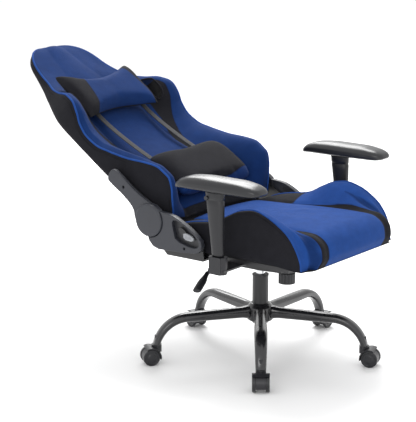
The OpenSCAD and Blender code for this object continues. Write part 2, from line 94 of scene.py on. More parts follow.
def area_light(name, place, aim, size, power):
    data = bpy.data.lights.new(name, "AREA")
    data.shape = "DISK"
    data.size = size
    data.energy = power
    light = add_object(name, data)
    light.location = place
    light.rotation_euler = aimed(place, aim)


def make_studio():
    corners = [(x * FLOOR_REACH, y * FLOOR_REACH, 0)
               for x, y in ((-1, -1), (1, -1), (1, 1), (-1, 1))]
    floor = bpy.data.meshes.new("floor")
    floor.from_pydata(corners, [], [(0, 1, 2, 3)])
    floor_object = add_object("floor", floor)
    white = bpy.data.materials.new("floor_white")
    white.use_nodes = True
    shader = white.node_tree.nodes["Principled BSDF"]
    shader.inputs["Base Color"].default_value = (0.93, 0.93, 0.93, 1)
    shader.inputs["Roughness"].default_value = 0.9
    shader.inputs["Specular IOR Level"].default_value = 0.1
    floor.materials.append(white)

    world = bpy.data.worlds.new("studio")
    bpy.context.scene.world = world
    world.use_nodes = True
    background = world.node_tree.nodes["Background"]
    background.inputs["Color"].default_value = (1, 1, 1, 1)
    background.inputs["Strength"].default_value = 1.1
    area_light("key", (1.5, 1.3, 3.5), (0, -0.1, 0.4), 2.0, 110)
    area_light("side", (-3.2, -1.2, 1.6), (0, 0.2, 0.5), 1.6, 22)
    area_light("back", (2.6, 2.2, 2.6), (0, 0, 0.5), 1.8, 45)
    bpy.context.scene.view_settings.view_transform = "Standard"


# --- Materials --------------------------------------------------------------------------------

BLUE = (0.012, 0.050, 0.210)
BLACK_CLOTH = (0.011, 0.011, 0.014)
DYE_EDGE = 0.0006
# Painted shade: cloth within this distance of a seam or crease is darkened towards half its colour;
# the next value marks points that get none.
CREASE_SHADE_WIDTH = 0.0035
NO_CREASE_SHADE = .02


class Graph:
    """A short way to write a material's nodes."""

    def __init__(self, name):
        self.material = bpy.data.materials.new(name)
        self.material.use_nodes = True
        self.tree = self.material.node_tree
        self.shader = self.tree.nodes["Principled BSDF"]
        self.place = self.node("ShaderNodeTexCoord").outputs["Object"]

    def node(self, kind, settings=None, **inputs):
        made = self.tree.nodes.new(kind)
        for key, value in (settings or {}).items():
            setattr(made, key, value)
        for key, value in inputs.items():
            self.put(made.inputs[int(key[1:]) if key[0] == "_" else key.replace("_", " ")], value)
        return made

    def put(self, socket, value):
        if isinstance(value, bpy.types.NodeSocket):
            self.tree.links.new(value, socket)
        else:
            socket.default_value = value

    def set(self, **inputs):
        for key, value in inputs.items():
            self.put(self.shader.inputs[key.replace("_", " ")], value)

    def math(self, operation, a, b=0.0):
        return self.node("ShaderNodeMath", {"operation": operation}, _0=a, _1=b).outputs[0]

    def blend(self, a, share_a, b, share_b):
        return self.math("ADD", self.math("MULTIPLY", a, share_a),
                         self.math("MULTIPLY", b, share_b))

    def noise(self, scale, detail=3.0, rough=0.5):
        made = self.node("ShaderNodeTexNoise", Vector=self.place, Scale=scale, Detail=detail,
                         Roughness=rough)
        return made.outputs["Fac"]

    def wave(self, axis, scale):
        made = self.node("ShaderNodeTexWave", {"bands_direction": axis}, Vector=self.place,
                         Scale=scale, Distortion=0.4, Detail=1.0)
        return made.outputs["Fac"]

    def ramp(self, value, low, high, start=0.0, end=1.0):
        made = self.node("ShaderNodeMapRange", Value=value, From_Min=low, From_Max=high,
                         To_Min=start, To_Max=end)
        return made.outputs[0]

    def mix(self, factor, a, b):
        made = self.node("ShaderNodeMix", {"data_type": "RGBA"})
        for socket, value in ((0, factor), (6, a), (7, b)):
            if isinstance(value, tuple):
                value = (*value, 1.0)
            self.put(made.inputs[socket], value)
        return made.outputs[2]

    def vary(self, factor, colour, dark, light):
        """A colour that wanders between a darker and a lighter shade of itself."""
        return self.mix(factor, shade(colour, dark), shade(colour, light))

    def bump(self, height, strength, distance):
        made = self.node("ShaderNodeBump", Height=height, Strength=strength, Distance=distance)
        self.put(self.shader.inputs["Normal"], made.outputs[0])

    def attribute(self, name):
        return self.node("ShaderNodeAttribute", {"attribute_name": name}).outputs["Fac"]


def shade(colour, amount):
    return tuple(min(1.0, part * amount) for part in colour)


def cloth_material(name, front, back=None):
    """Woven cloth. Where the piece's dye attribute is above 0 it turns from front to back."""
    g = Graph(name)
    weave = g.math("MULTIPLY", g.wave("DIAGONAL", 260.0), g.wave("X", 340.0))
    mottle = g.noise(38.0, 4.0)
    cloud = g.noise(6.0, 2.0)
    spread = g.ramp(g.blend(mottle, 0.6, cloud, 0.4), 0.3, 0.7)
    colour = g.vary(spread, front, 0.88, 1.14)
    if back is not None:
        second = g.vary(spread, back, 0.85, 1.2)
        colour = g.mix(g.ramp(g.attribute("dye"), -DYE_EDGE, DYE_EDGE), colour, second)
    # Painted shade: where the crease distance attribute is under the width above, the colour is
    # darkened to half along seams and creases.
    crease_shade = g.ramp(g.attribute("crease_shade"), 0.0, CREASE_SHADE_WIDTH)
    colour = g.mix(crease_shade, g.mix(0.5, colour, (0.0, 0.0, 0.0)), colour)
    g.set(Base_Color=colour, Roughness=0.88, Sheen_Weight=0.03, Sheen_Roughness=0.5,
          Specular_IOR_Level=0.08)
    g.bump(g.blend(weave, 0.5, mottle, 0.8), 0.35, 0.0006)
    return g.material


def plastic_material(name, colour, rough, grain=900.0, coat=0.0, worn=1.5):
    """Moulded plastic with a fine grain and edges rubbed a little lighter."""
    g = Graph(name)
    cloud = g.noise(14.0, 4.0)
    edge = g.ramp(g.node("ShaderNodeNewGeometry").outputs["Pointiness"], 0.52, 0.62)
    base = g.vary(g.ramp(cloud, 0.3, 0.7), colour, 0.9, 1.1)
    g.set(Base_Color=g.mix(g.math("MULTIPLY", edge, 0.35), base, shade(colour, worn)),
          Roughness=g.ramp(cloud, 0.3, 0.7, rough - 0.04, rough + 0.05), Coat_Weight=coat,
          Coat_Roughness=0.25)
    g.bump(g.noise(grain, 2.0), 0.18, 0.0003)
    return g.material


def paint_material(name, colour, rough, coat):
    """Powder-coated steel: slight orange peel, and finger dust in the roughness."""
    g = Graph(name)
    dust = g.noise(9.0, 5.0)
    g.set(Base_Color=g.vary(g.ramp(dust, 0.35, 0.65), colour, 0.92, 1.12),
          Roughness=g.ramp(dust, 0.3, 0.7, rough - 0.04, rough + 0.06), Coat_Weight=coat,
          Coat_Roughness=0.12)
    g.bump(g.noise(260.0, 2.0), 0.06, 0.0004)
    return g.material


def metal_material(name, colour, rough):
    """Bare metal with fine drawn scratches."""
    g = Graph(name)
    lines = g.noise(420.0, 2.0)
    g.set(Base_Color=g.vary(g.ramp(lines, 0.3, 0.7), colour, 0.94, 1.05),
          Metallic=1.0, Roughness=g.ramp(lines, 0.3, 0.7, rough - 0.03, rough + 0.05))
    g.bump(lines, 0.03, 0.0002)
    return g.material


def webbing_material(name, colour):
    """Ribbed strap webbing, with its ribs across the piece's run attribute."""
    g = Graph(name)
    rib = g.math("SINE", g.math("MULTIPLY", g.attribute("run"), 2600.0))
    fuzz = g.noise(300.0, 3.0)
    g.set(Base_Color=g.vary(g.ramp(rib, -1.0, 1.0), colour, 0.8, 1.15),
          Roughness=0.8, Sheen_Weight=0.15, Specular_IOR_Level=0.3)
    g.bump(g.math("ADD", rib, fuzz), 0.4, 0.0005)
    return g.material


MATERIALS = {
    "two_cloth": cloth_material("cloth_blue_black", BLUE, BLACK_CLOTH),
    # Painted shade: the back's cloth is the seat blue at half brightness, standing in for the shade on
    # the back, head pillow and lumbar pillow.
    "back_cloth_painted_shade": cloth_material("cloth_back_painted_shade", shade(BLUE, 0.50), BLACK_CLOTH),
    # Painted highlight: the piping is the seat blue made a tenth lighter, standing in for the light
    # its round cord catches.
    "piping": cloth_material("cloth_piping_painted_highlight", shade(BLUE, 1.1)),
    "black_cloth": cloth_material("cloth_black", BLACK_CLOTH),
    "strap": webbing_material("strap_grey", (0.016, 0.016, 0.019)),
    "cover": plastic_material("plastic_cover", (0.024, 0.026, 0.034), 0.42),
    "column": plastic_material("plastic_column", (0.007, 0.0073, 0.010), 0.42),
    "pad": plastic_material("plastic_pad", (0.012, 0.0125, 0.015), 0.30, 700.0),
    "hood": plastic_material("plastic_hood", (0.012, 0.012, 0.015), 0.34),
    "wheel": plastic_material("plastic_wheel", (0.010, 0.0105, 0.013), 0.30),
    "knob": plastic_material("plastic_knob", (0.018, 0.0185, 0.022), 0.42),
    "grey": plastic_material("plastic_grey", (0.26, 0.27, 0.29), 0.45),
    "gloss": paint_material("paint_gloss", (0.008, 0.008, 0.010), 0.26, 0.5),
    "satin": paint_material("paint_satin", (0.010, 0.010, 0.012), 0.40, 0.1),
    "chrome": metal_material("metal_chrome", (0.72, 0.73, 0.75), 0.14),
    "steel": metal_material("metal_steel", (0.42, 0.42, 0.44), 0.30),
}


# --- Mesh helpers -----------------------------------------------------------------------------

def smooth_through(keys):
    """A smooth curve through (place, value) pairs that doesn't overshoot them."""
    x = np.array([key[0] for key in keys], float)
    y = np.array([key[1:] for key in keys], float)
    slope = np.diff(y, axis=0) / np.diff(x)[:, None]
    tangent = np.zeros_like(y)
    tangent[0], tangent[-1] = slope[0], slope[-1]
    inner = slope[:-1] * slope[1:] > 0
    mean = 2 * slope[:-1] * slope[1:] / np.where(inner, slope[:-1] + slope[1:], 1)
    tangent[1:-1] = np.where(inner, mean, 0)

    def at(place):
        place = np.clip(np.asarray(place, float), x[0], x[-1])
        i = np.clip(np.searchsorted(x, place) - 1, 0, len(x) - 2)
        h = x[i + 1] - x[i]
        u = ((place - x[i]) / h)[..., None]
        h = h[..., None]
        value = ((1 + 2 * u) * (1 - u) ** 2 * y[i] + u * (1 - u) ** 2 * h * tangent[i]
                 + u * u * (3 - 2 * u) * y[i + 1] + u * u * (u - 1) * h * tangent[i + 1])
        return value[..., 0] if y.shape[1] == 1 else value
    return at


def full_turn(count):
    return np.linspace(0, 2 * math.pi, count, endpoint=False)


def boxed(value, power):
    """A sine or cosine pushed outward, which turns an ellipse into a rounded box."""
    return math.copysign(abs(value) ** power, value)


def smoothstep(value, low, high):
    """A smooth 0 to 1 as value goes from low to high."""
    u = np.clip((np.asarray(value, float) - low) / (high - low), 0, 1)
    return u * u * (3 - 2 * u)


def set_values(mesh, values):
    """Write the point attributes that a material reads, given by name."""
    for key, numbers in values.items():
        data = mesh.attributes.new(key, "FLOAT", "POINT").data
        data.foreach_set("value", np.asarray(numbers, np.float32))


def add_piece(name, points, faces, material, body, replaced=(), attributes=None):
    mesh = bpy.data.meshes.new(name)
    mesh.from_pydata([tuple(map(float, p)) for p in points], [], faces)
    mesh.validate()
    mesh.shade_smooth()
    set_values(mesh, attributes or {})
    mesh.materials.append(MATERIALS[material])
    piece = add_object(name, mesh)
    if body:
        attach(piece, body)
    if replaced:
        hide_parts(*replaced)
    return piece


def ring_faces(rings, sides, closed=False, caps=True):
    """Faces of a tube of rings; each ring has sides points, in order."""
    faces = []
    for r in range(rings if closed else rings - 1):
        a, b = r * sides, (r + 1) % rings * sides
        for i in range(sides):
            j = (i + 1) % sides
            faces.append((a + i, a + j, b + j, b + i))
    if caps and not closed:
        faces.append(tuple(range(sides))[::-1])
        faces.append(tuple(range((rings - 1) * sides, rings * sides)))
    return faces


def path_frames(points, closed=False):
    """Tangent and two normals at each point of a path."""
    points = np.asarray(points, float)
    if closed:
        tangents = np.roll(points, -1, 0) - np.roll(points, 1, 0)
    else:
        tangents = np.gradient(points, axis=0)
    tangents /= np.linalg.norm(tangents, axis=1)[:, None]
    side = np.cross(tangents[0], (0.31, 0.47, 0.82))
    sides = []
    for tangent in tangents:
        side = side - tangent * (side @ tangent)
        side = side / np.linalg.norm(side)
        sides.append(side)
    sides = np.array(sides)
    return tangents, sides, np.cross(tangents, sides)


def tube(name, points, radius, material, body, sides=10, closed=False, replaced=()):
    """A round cord or rod along points; radius is one number or one for each point."""
    points = np.asarray(points, float)
    radii = np.broadcast_to(radius, len(points))
    _, side, up = path_frames(points, closed)
    turn = full_turn(sides)
    ring = np.cos(turn)[:, None] * side[:, None] + np.sin(turn)[:, None] * up[:, None]
    verts = (points[:, None] + ring * radii[:, None, None]).reshape(-1, 3)
    faces = ring_faces(len(points), sides, closed)
    attributes = {"crease_shade": np.full(len(verts), NO_CREASE_SHADE)}
    return add_piece(name, verts, faces, material, body, replaced, attributes)


def resample(points, step):
    """Points at an even step along a path."""
    points = np.asarray(points, float)
    run = np.concatenate([[0], np.cumsum(np.linalg.norm(np.diff(points, axis=0), axis=1))])
    at = np.linspace(0, run[-1], max(3, int(run[-1] / step) + 1))
    return np.stack([np.interp(at, run, points[:, k]) for k in range(3)], 1)


def lathe(profile, sides, place, axis):
    """Points and faces of a turned solid; profile is (radius, height) from one end to the other."""
    axis = np.asarray(axis, float) / np.linalg.norm(axis)
    side = np.cross(axis, (0.3, 0.5, 0.81))
    side /= np.linalg.norm(side)
    up = np.cross(axis, side)
    turn = full_turn(sides)
    ring = np.cos(turn)[:, None] * side + np.sin(turn)[:, None] * up
    verts = [np.asarray(place) + axis * h + ring * max(r, 1e-5) for r, h in profile]
    return np.concatenate(verts), ring_faces(len(profile), sides)


def rounded_profile(corners, radius=0.001):
    """A lathe profile with its corners cut twice, so that edges catch the light."""
    corners = [np.array(c, float) for c in corners]
    out = [corners[0]]
    for before, corner, after in zip(corners, corners[1:], corners[2:]):
        for other, weight in ((before, 1.0), (before, 0.35), (after, 0.35), (after, 1.0)):
            way = other - corner
            reach = min(radius * weight, np.linalg.norm(way) * 0.45)
            out.append(corner + way / max(np.linalg.norm(way), 1e-9) * reach)
    return out + [corners[-1]]


def loft_shell(rows, sides_count):
    """Faces for rows of closed loops laid out as front, side, rear, side.

    Each loop has J front points, W side points, J rear points and W side points; both ends are
    closed with a grid between the front and the rear.
    """
    front, side = sides_count
    loop = 2 * front + 2 * side
    verts = np.concatenate(rows)
    faces = ring_faces(len(rows), loop, caps=False)
    extra = []
    start = len(verts)
    for end, flip in ((0, False), (len(rows) - 1, True)):
        base = end * loop
        grid = np.zeros((front, side + 2), int)
        grid[:, 0] = base + np.arange(front)
        grid[:, -1] = base + 2 * front + side - 1 - np.arange(front)
        grid[-1, 1:-1] = base + front + np.arange(side)
        grid[0, 1:-1] = base + loop - 1 - np.arange(side)
        for j in range(1, front - 1):
            for w in range(1, side + 1):
                u, v = j / (front - 1), w / (side + 1)
                across = (1 - u) * verts[grid[0, w]] + u * verts[grid[-1, w]]
                along = (1 - v) * verts[grid[j, 0]] + v * verts[grid[j, -1]]
                corners = ((1 - u) * (1 - v) * verts[grid[0, 0]]
                           + u * (1 - v) * verts[grid[-1, 0]]
                           + (1 - u) * v * verts[grid[0, -1]] + u * v * verts[grid[-1, -1]])
                grid[j, w] = start + len(extra)
                extra.append(across + along - corners)
        for j in range(front - 1):
            for w in range(side + 1):
                quad = (grid[j, w], grid[j + 1, w], grid[j + 1, w + 1], grid[j, w + 1])
                faces.append(tuple(int(q) for q in (quad if flip else quad[::-1])))
    return np.concatenate([verts, extra]) if extra else verts, faces


# --- Back -------------------------------------------------------------------------------------

def back_point(x, t, n):
    """A point of the back's own frame in the CAD frame."""
    x, t, n = np.broadcast_arrays(x, t, n)
    return np.stack([x, HINGE[1] + t * BACK_COS - n * BACK_SIN,
                     HINGE[2] + t * BACK_SIN + n * BACK_COS], -1)


back_half = smooth_through([
    (-.036, .240), (0, .247), (.05, .251), (.1, .253), (.2, .254), (.3, .253), (.36, .252),
    (.41, .250), (.45, .244), (.485, .230), (.51, .217), (.535, .203), (.56, .190), (.59, .174),
    (.62, .162), (.65, .152), (.68, .143), (.70, .134), (.72, .120), (.74, .098), (.754, .070),
    (.761, .046), (.764, .024)])
crest_height = smooth_through([
    (-.036, .030), (-.027, .047), (-.003, .080), (.018, .107), (.047, .126), (.08, .125),
    (.124, .107), (.194, .071), (.25, .042), (.3, .021), (.34, .017), (.383, .028), (.411, .042),
    (.445, .048), (.485, .036), (.524, .004), (.56, -.018), (.60, -.030), (.65, -.038),
    (.72, -.041), (.764, -.046)])
centre_height = smooth_through([
    (-.036, .018), (-.02, .027), (.03, .031), (.10, .028), (.16, .016), (.22, -.002), (.30, -.021),
    (.38, -.027), (.50, -.028), (.60, -.031), (.68, -.036), (.73, -.039), (.764, -.048)])
rear_height = smooth_through([
    (-.036, .002), (0, -.018), (.06, -.036), (.2, -.046), (.35, -.052), (.45, -.060), (.53, -.068),
    (.62, -.074), (.7, -.074), (.764, -.066)])
wing_foot = smooth_through([(-.036, .150), (.1, .145), (.3, .125), (.5, .120), (.56, .080),
                            (.764, .03)])
inset_outer = smooth_through([
    (.165, .128), (.18, .137), (.235, .145), (.28, .158), (.328, .175), (.366, .190), (.398, .202),
    (.424, .206), (.448, .206), (.474, .199), (.492, .182), (.505, .158), (.514, .136)])
inset_inner = smooth_through([(.165, .118), (.24, .121), (.30, .130), (.34, .142), (.37, .150),
                              (.52, .150)])

BACK_TOP = .764
BACK_BOTTOM = -.036
SLOT_LOW, SLOT_HIGH = .420, .512
SLOT_COLUMNS = (23, 27)
HALF_COLUMNS = 36
FRONT_COUNT = 2 * HALF_COLUMNS + 1
SIDE_COUNT = 12
PIPING_ARC = .012
SIDE_SEAM = .012


def back_front_height(x, t):
    """Height of the back's front surface over its own plane."""
    half = back_half(t)
    rim = np.minimum(.020, .45 * (crest_height(t) - rear_height(t)))
    crest = half - rim
    foot = np.minimum(wing_foot(t), crest - .02)
    rise = smoothstep(np.abs(x), foot, crest)
    crown = .006 * (1 - (np.clip(np.abs(x) / foot, 0, 1)) ** 2)
    settled = .012 * smoothstep(t, .10, .20) * (1 - smoothstep(t, .38, .46)) * (x > 0)
    height = centre_height(t) + crown + (crest_height(t) - settled - centre_height(t)) * rise
    tufts = .004 * np.exp(-((np.abs(x) - foot) / .010) ** 2) * (1 - smoothstep(t, .40, .46))
    return height - tufts


def inset_distance(x, t):
    """Distance inside the black insets of the wings, negative outside them."""
    a = np.abs(x)
    across = np.minimum(float(inset_outer(t)) - a, a - float(inset_inner(t)))
    return np.minimum(across, min(t - .165, .514 - t))


def shell_columns(crest, slot_inner, slot_outer, squeeze):
    """The half row's x places, with the slot's edges on two fixed columns."""
    first, last = SLOT_COLUMNS
    middle, half = .5 * (slot_inner + slot_outer), .5 * (slot_outer - slot_inner) * squeeze
    return np.concatenate([
        np.linspace(0, slot_inner, first + 1)[:-1],
        np.linspace(middle - half, middle + half, last - first + 1),
        slot_outer + (crest - slot_outer) * np.linspace(0, 1, HALF_COLUMNS - last + 1)[1:]])


def arc_from_crest(points):
    """Distance along a loop from its last front point, for the side points that follow it."""
    side = points[FRONT_COUNT - 1:FRONT_COUNT + SIDE_COUNT]
    return np.cumsum(np.linalg.norm(np.diff(side, axis=0), axis=1))


def loop_point(points, arcs, arc):
    """The point of a loop at an arc length past the crest, on the +X side."""
    side = points[FRONT_COUNT - 1:FRONT_COUNT + SIDE_COUNT]
    run = np.concatenate([[0], arcs])
    return np.array([np.interp(arc, run, side[:, k]) for k in range(3)])


def round_loop(front, side):
    """One loop's attribute values: front, side, rear (plain) and the other side."""
    return np.concatenate([front, side, np.full(FRONT_COUNT, NO_CREASE_SHADE), side[::-1]])


def end_round(t):
    """Share of the thickness left near the top edge of the back."""
    u = np.clip((t - BACK_TOP + .016) / .0161, 0, 1)
    return math.sqrt(1 - u * u)


def make_back():
    """The padded back: one cushion whose side wings stand proud, with a slot through each."""
    levels = np.unique(np.round(np.concatenate([
        np.linspace(BACK_BOTTOM, SLOT_LOW, 76), np.linspace(SLOT_LOW, SLOT_HIGH, 21),
        np.linspace(SLOT_HIGH, .71, 33),
        .71 + .054 * np.sin(np.linspace(0, math.pi / 2, 18))]), 6))
    rows, dye, crease_shade, edges = [], [], [], []
    for t in levels:
        half, rear, crest_n = float(back_half(t)), float(rear_height(t)), float(crest_height(t))
        rim = min(.020, .45 * (crest_n - rear))
        crest = half - rim
        in_slot = SLOT_LOW <= t <= SLOT_HIGH
        u = (t - .5 * (SLOT_LOW + SLOT_HIGH)) / (.5 * (SLOT_HIGH - SLOT_LOW))
        squeeze = max(.2, math.sqrt(max(0.0, 1 - u ** 4))) if in_slot else 1.0
        right = shell_columns(crest, min(.168, .80 * crest), min(.192, .93 * crest), squeeze)
        x = np.concatenate([-right[::-1], right[1:]])
        mid = .5 * (float(centre_height(t)) + rear)
        end = end_round(t)
        front_n = mid + (back_front_height(x, t) - mid) * end
        rear_n = mid + (rear + .012 * (np.abs(x) / half) ** 3 - mid) * end
        tall, middle = .5 * (front_n[-1] - rear_n[-1]), .5 * (front_n[-1] + rear_n[-1])
        angle = np.linspace(math.pi / 2, -math.pi / 2, SIDE_COUNT + 2)[1:-1]
        side_n = middle + tall * np.sign(np.sin(angle)) * np.abs(np.sin(angle)) ** .6
        side_x = crest + rim * np.cos(angle) ** .6
        xs = np.concatenate([x, side_x, x[::-1], -side_x[::-1]])
        ns = np.concatenate([front_n, side_n, rear_n[::-1], side_n[::-1]])
        loop = back_point(xs, t, ns)
        arcs = arc_from_crest(loop)
        rows.append(loop)
        edges.append(loop_point(loop, arcs, PIPING_ARC))
        front_dye = np.maximum.reduce([
            inset_distance(x, t), np.abs(x) - crest - PIPING_ARC,
            np.minimum(-.012 - t, .168 - np.abs(x))])
        side_dye = arcs - PIPING_ARC
        dye.append(round_loop(front_dye, side_dye))
        foot = float(wing_foot(t)) if t < .42 else 9.0
        # Painted shade along the seams at the colour edges and along the crease at each wing's foot.
        front_crease_shade = np.minimum(np.abs(front_dye), np.abs(np.abs(x) - foot))
        crease_shade.append(round_loop(front_crease_shade, np.abs(side_dye - SIDE_SEAM)))
    points, faces = loft_shell(rows, (FRONT_COUNT, SIDE_COUNT))
    loop_size = 2 * FRONT_COUNT + 2 * SIDE_COUNT
    first, last = SLOT_COLUMNS
    slot_rows = [r for r, t in enumerate(levels) if SLOT_LOW <= t <= SLOT_HIGH]
    dropped, walls = set(), []
    for side in SIDES.values():
        columns = [HALF_COLUMNS + side * k for k in range(first, last + 1)]

        def front_at(r, j):
            return r * loop_size + j

        def rear_at(r, j):
            return r * loop_size + FRONT_COUNT + SIDE_COUNT + FRONT_COUNT - 1 - j

        for r in slot_rows[:-1]:
            for a, b in zip(columns, columns[1:]):
                for at in (front_at, rear_at):
                    dropped.add(frozenset((at(r, a), at(r, b), at(r + 1, a), at(r + 1, b))))
            for j, ahead in ((columns[0], side > 0), (columns[-1], side < 0)):
                quad = (front_at(r, j), front_at(r + 1, j), rear_at(r + 1, j), rear_at(r, j))
                walls.append(quad if ahead else quad[::-1])
        for r, ahead in ((slot_rows[0], side < 0), (slot_rows[-1], side > 0)):
            for a, b in zip(columns, columns[1:]):
                quad = (front_at(r, a), front_at(r, b), rear_at(r, b), rear_at(r, a))
                walls.append(quad if ahead else quad[::-1])
    faces = [f for f in faces if frozenset(f) not in dropped] + walls
    extra = np.full(len(points) - loop_size * len(rows), NO_CREASE_SHADE)
    dye, crease_shade = np.concatenate(dye + [extra]), np.concatenate(crease_shade + [extra])
    used = np.zeros(len(points), bool)
    used[[i for f in faces for i in f]] = True
    renumber = np.cumsum(used) - 1
    faces = [tuple(int(renumber[i]) for i in f) for f in faces]
    # Painted shade: the shell's blue is the darkened copy of the seat blue.
    shell = add_piece("back_shell", points[used], faces, "back_cloth_painted_shade", "back",
                      ("back_cushion", "back_wing_right", "back_wing_left"),
                      {"dye": dye[used], "crease_shade": crease_shade[used]})
    edges = np.array(edges)
    outline = np.concatenate([edges, edges[::-1] * (-1, 1, 1)])
    # The piping's lighter blue is a painted highlight.
    tube("back_piping", resample(outline, .006), .0031, "piping", "back", 8)
    for name, side in SIDES.items():
        rim = [rows[r][HALF_COLUMNS + side * first] for r in slot_rows]
        rim += [rows[r][HALF_COLUMNS + side * last] for r in slot_rows[::-1]]
        tube("slot_trim_" + name, resample(rim + rim[:1], .004)[:-1], .0028, "black_cloth", "back",
             8, closed=True)


# --- Seat -------------------------------------------------------------------------------------

seat_centre = smooth_through([
    (0, .146, .360), (.06, .150, .402), (.09, .141, .421), (.13, .104, .431), (.26, 0, .436),
    (.45, -.120, .444), (.63, -.230, .447), (.73, -.285, .445), (.80, -.316, .433),
    (.87, -.334, .410), (.94, -.337, .384), (1, -.322, .354)])
seat_crest = smooth_through([
    (0, .142, .360), (.06, .145, .404), (.09, .126, .424), (.14, .072, .441), (.27, -.013, .456),
    (.36, -.060, .480), (.45, -.105, .500), (.53, -.145, .506), (.62, -.188, .496),
    (.70, -.228, .476), (.77, -.262, .450), (.86, -.288, .412), (.95, -.302, .370),
    (1, -.300, .354)])
strip_inner = smooth_through([(0, .152), (.5, .151), (.7, .147), (1, .146)])
strip_outer = smooth_through([(0, .156), (.30, .157), (.45, .160), (.55, .166), (.65, .174),
                              (.75, .180), (1, .181)])
seat_half = smooth_through([(0, .251), (.60, .251), (.80, .246), (1, .238)])
SEAT_RIM = .024
SEAT_FLOOR = .3535
SEAT_BEND, SEAT_FALL = .6, 3.4
ROUNDED_SHARE = .32
seat_edge_arc = smooth_through([(0, .004), (.45, .006), (.65, .014), (1, .018)])


def make_seat():
    """The padded seat: a centre panel between two bolsters, falling away over the front."""
    rows, dye, crease_shade, edges = [], [], [], []
    for s in np.linspace(0, 1, 110):
        centre, crest = seat_centre(s), seat_crest(s)
        crest_x = float(seat_half(s)) - SEAT_RIM
        right = np.linspace(0, crest_x, HALF_COLUMNS + 1)
        x = np.concatenate([-right[::-1], right[1:]])
        a = np.abs(x)
        rise = smoothstep(a, .150 + .030 * float(smoothstep(s, .55, .75)), crest_x) ** .85
        path = centre + (crest - centre) * rise[:, None]
        lean = SEAT_FALL * max(0.0, s - SEAT_BEND)
        outward = np.array([-math.sin(lean), math.cos(lean)])
        body = smoothstep(s, 0, .1) * (1 - smoothstep(s, .93, 1))
        crown = .007 * (1 - np.clip(a / .150, 0, 1) ** 2) * body
        crease = .0012 * np.sin(a * 75 + 3 * math.sin(s * 9)) * np.exp(-((s - .45) / .09) ** 2)
        front = float(smoothstep(s, .55, .72))
        valley = (.007 - .004 * front) * np.exp(-((a - .153) / .009) ** 2) * body
        valley = valley + .011 * front * np.exp(-((a - .193) / .008) ** 2)
        path = path + (crown + crease * (a < .13) - valley)[:, None] * outward
        floor_y = .142 - .448 * s
        angle = np.linspace(0, 1, SIDE_COUNT + 2)[1:-1]
        side_x = crest_x + SEAT_RIM * np.sqrt(1 - (1 - np.clip(angle / ROUNDED_SHARE, 0, 1)) ** 2)
        rounded = angle < ROUNDED_SHARE
        drop = (1 - np.sqrt(1 - np.clip(angle / ROUNDED_SHARE, 0, 1) ** 2)) * SEAT_RIM
        top = path[-1]
        reach = np.array([floor_y, SEAT_FLOOR]) - top
        length = max(np.linalg.norm(reach), 1e-6)
        rim = SEAT_RIM / length
        share = np.where(rounded, drop / length,
                         rim + (1 - rim) * (angle - ROUNDED_SHARE) / (1 - ROUNDED_SHARE))
        share = np.clip(share, 0, 1)
        side = top + reach * share[:, None]
        bulge = .004 * np.sin(math.pi * share) * body
        ys = np.concatenate([path[:, 0], side[:, 0], np.full(FRONT_COUNT, floor_y),
                             side[::-1, 0]])
        zs = np.concatenate([path[:, 1], side[:, 1], np.full(FRONT_COUNT, SEAT_FLOOR),
                             side[::-1, 1]])
        xs = np.concatenate([x, side_x - bulge, x[::-1], -(side_x - bulge)[::-1]])
        loop = np.stack([xs, ys, zs], 1)
        arcs = arc_from_crest(loop)
        rows.append(loop)
        edge_arc = float(seat_edge_arc(s))
        if s > .09:
            edges.append(loop_point(loop, arcs, edge_arc))
        strip = np.minimum(a - strip_inner(s), strip_outer(s) - a)
        tail = np.minimum(path[:, 0] + .005, a - .158)
        front_dye = np.maximum.reduce([strip, tail, np.full(len(a), .06 - s)])
        side_dye = np.maximum(arcs - edge_arc, min(.02, float(side[0, 0]) + .005))
        dye.append(round_loop(front_dye, side_dye))
        # Painted shade along the side seam and the seams at the colour edges.
        side_crease_shade = np.abs(arcs - edge_arc - SIDE_SEAM)
        front_crease_shade = np.minimum(np.abs(strip), np.abs(tail))
        # Painted shade: the front valley between each black strip and its bolster is darkened, in a
        # band that widens towards the front.
        if s > .55:
            front_crease_shade = np.minimum(front_crease_shade, np.maximum(0, np.abs(a - .194) - .009 * front))
        crease_shade.append(round_loop(front_crease_shade, side_crease_shade))
    points, faces = loft_shell(rows, (FRONT_COUNT, SIDE_COUNT))
    extra = np.full(len(points) - sum(map(len, dye)), NO_CREASE_SHADE)
    shell = add_piece("seat_shell", points, faces, "two_cloth", "seat",
                      ("seat_cushion", "seat_bolster_right", "seat_bolster_left"),
                      {"dye": np.concatenate(dye + [extra]), "crease_shade": np.concatenate(crease_shade + [extra])})
    edges = np.array(edges)
    for name, side in SIDES.items():
        # The piping's lighter blue is a painted highlight.
        tube("seat_piping_" + name, resample(edges * (side, 1, 1), .006), .0028, "piping", "seat",
             8)


# --- Pillows ----------------------------------------------------------------------------------

def pillow_form(width, low, high, thick, places):
    """A closed pillow: low, high and thick are functions of x share; places maps (x, t, n)."""
    across, along = 40, 22
    front, rear = [], []
    for i in range(across + 1):
        q = -1 + 2 * i / across
        for j in range(along + 1):
            v = -math.cos(math.pi * j / along)
            t = low(q) + (high(q) - low(q)) * (v + 1) / 2
            full = thick(q) * math.sqrt(max(0.0, 1 - v ** 4)) * math.sqrt(max(0.0, 1 - q ** 6))
            front.append(places(q * width, t, full))
            rear.append(places(q * width, t, -.45 * full))
    count = (across + 1) * (along + 1)
    points = np.array(front + rear)

    def at(i, j, back):
        edge = i in (0, across) or j in (0, along)
        return i * (along + 1) + j + (0 if edge or not back else count)

    faces = []
    for i in range(across):
        for j in range(along):
            for back in (False, True):
                quad = tuple(at(i + u, j + v, back) for u, v in ((0, 0), (1, 0), (1, 1), (0, 1)))
                faces.append(quad[::-1] if back else quad)
    used = sorted({k for f in faces for k in f})
    index = {k: n for n, k in enumerate(used)}
    return points[used], [tuple(index[k] for k in f) for f in faces]


